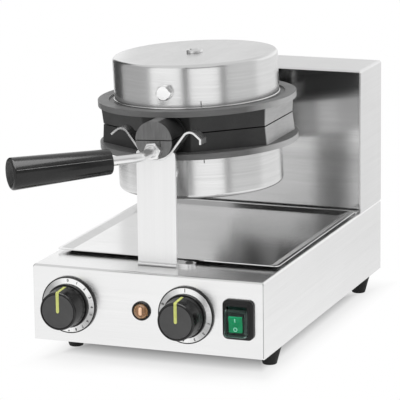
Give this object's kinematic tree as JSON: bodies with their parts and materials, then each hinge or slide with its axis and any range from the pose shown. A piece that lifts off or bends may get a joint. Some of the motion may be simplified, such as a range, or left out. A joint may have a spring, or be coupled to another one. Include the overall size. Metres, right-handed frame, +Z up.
{
  "type": "bubble waffle maker",
  "caption": "Countertop bubble waffle maker: steel base with dials and switch, rear column, drip tray and a turning head of two hinged cell plates with a side handle.",
  "frame": {"origin": "middle of the 250 x 390 mm base footprint, on the counter under the feet", "axes": "+X to the right seen from the front, +Y to the back, +Z up"},
  "size_m": [0.25, 0.5075, 0.3065],
  "materials": {
    "base_steel": "satin",
    "tray_steel": "polished",
    "column_steel": "satin",
    "panel_steel": "brushed",
    "bracket_steel": "brushed",
    "cradle_steel": "satin",
    "cover_steel": "brushed",
    "plate_casting": "non-stick coated casting",
    "foot_rubber": "matte",
    "bolt_steel": "plated",
    "rod_steel": "polished",
    "grip_plastic": "gloss",
    "dial_plastic": "matte",
    "knob_plastic": "satin",
    "spindle_steel": "plain",
    "regulator_case": "matte",
    "lamp_black": "gloss",
    "lamp_amber": "translucent",
    "switch_black": "gloss",
    "rocker_green": "lit",
    "splash_clear": "clear",
    "gland_black": "matte",
    "terminal_white": "matte",
    "sheet_zinc": "zinc plated",
    "bearing_iron": "machined",
    "bush_bronze": "sintered",
    "shaft_steel": "ground",
    "heater_sheath": "oxidised",
    "clamp_steel": "zinc plated",
    "fibre_pad": "felted"
  },
  "bodies": {
    "base": {"base_housing": "base_steel", "base_plate": "sheet_zinc", "base_plate_screws": "bolt_steel", "foot_front_left": "foot_rubber", "foot_front_right": "foot_rubber", "foot_rear_left": "foot_rubber", "foot_rear_right": "foot_rubber", "foot_fasteners": "bolt_steel", "column_cover": "column_steel", "column_front_panel": "panel_steel", "column_rear_panel": "panel_steel", "rear_panel_screws": "bolt_steel", "column_screws": "bolt_steel", "cable_gland": "gland_black", "gland_nut": "gland_black", "terminal_block": "terminal_white", "support_bracket": "bracket_steel", "support_cradle": "cradle_steel", "bracket_screws": "bolt_steel", "shaft_support": "sheet_zinc", "bearing_housing": "bearing_iron", "bearing_bush": "bush_bronze", "bearing_screws": "bolt_steel", "temperature_dial": "dial_plastic", "thermostat": "regulator_case", "timer_dial": "dial_plastic", "timer_mechanism": "regulator_case", "lamp_bezel": "lamp_black", "lamp_lens": "lamp_amber", "switch_housing": "switch_black", "switch_cover": "splash_clear"},
    "head": {"lower_plate": "plate_casting", "hinge_pins": "bolt_steel", "rear_shaft": "shaft_steel", "shaft_collar": "shaft_steel", "lower_cover": "cover_steel", "lower_cover_stud": "bolt_steel", "lower_cover_nut": "bolt_steel", "lower_side_bolt": "bolt_steel", "lower_heater": "heater_sheath", "lower_heater_clamps": "clamp_steel", "lower_insulation": "fibre_pad", "handle_rod": "rod_steel", "handle_nut": "rod_steel", "handle_grip": "grip_plastic"},
    "lid": {"upper_plate": "plate_casting", "upper_cover": "cover_steel", "upper_cover_stud": "bolt_steel", "upper_cover_nut": "bolt_steel", "upper_side_bolt": "bolt_steel", "upper_heater": "heater_sheath", "upper_heater_clamps": "clamp_steel", "upper_insulation": "fibre_pad"},
    "temperature_control": {"temperature_knob": "knob_plastic", "temperature_spindle": "spindle_steel"},
    "timer_control": {"timer_knob": "knob_plastic", "timer_spindle": "spindle_steel"},
    "power_rocker": {"switch_rocker": "rocker_green"},
    "tray": {"drip_tray": "tray_steel"}
  },
  "joints": [
    {"name": "head_turn", "type": "hinge", "parent": "base", "child": "head", "pos_m": [0, -0.045, 0.233], "axis": [0, 1, 0], "range_deg": [-180, 0]},
    {"name": "lid_open", "type": "hinge", "parent": "head", "child": "lid", "pos_m": [-0.00026, 0.069, 0.23899], "axis": [-0.999, 0, -0.0436], "range_deg": [0, 90]},
    {"name": "temperature_turn", "type": "hinge", "parent": "base", "child": "temperature_control", "pos_m": [-0.085, -0.2, 0.0625], "axis": [0, 1, 0], "range_deg": [0, 280]},
    {"name": "timer_turn", "type": "hinge", "parent": "base", "child": "timer_control", "pos_m": [0.0425, -0.2, 0.0625], "axis": [0, 1, 0], "range_deg": [0, 300]},
    {"name": "power_rock", "type": "hinge", "parent": "base", "child": "power_rocker", "pos_m": [0.0985, -0.19, 0.0625], "axis": [1, 0, 0], "range_deg": [-14, 0]},
    {"name": "tray_slide", "type": "slide", "parent": "base", "child": "tray", "axis": [1, 0, 0], "range_m": [0, 0.25]}
  ]
}
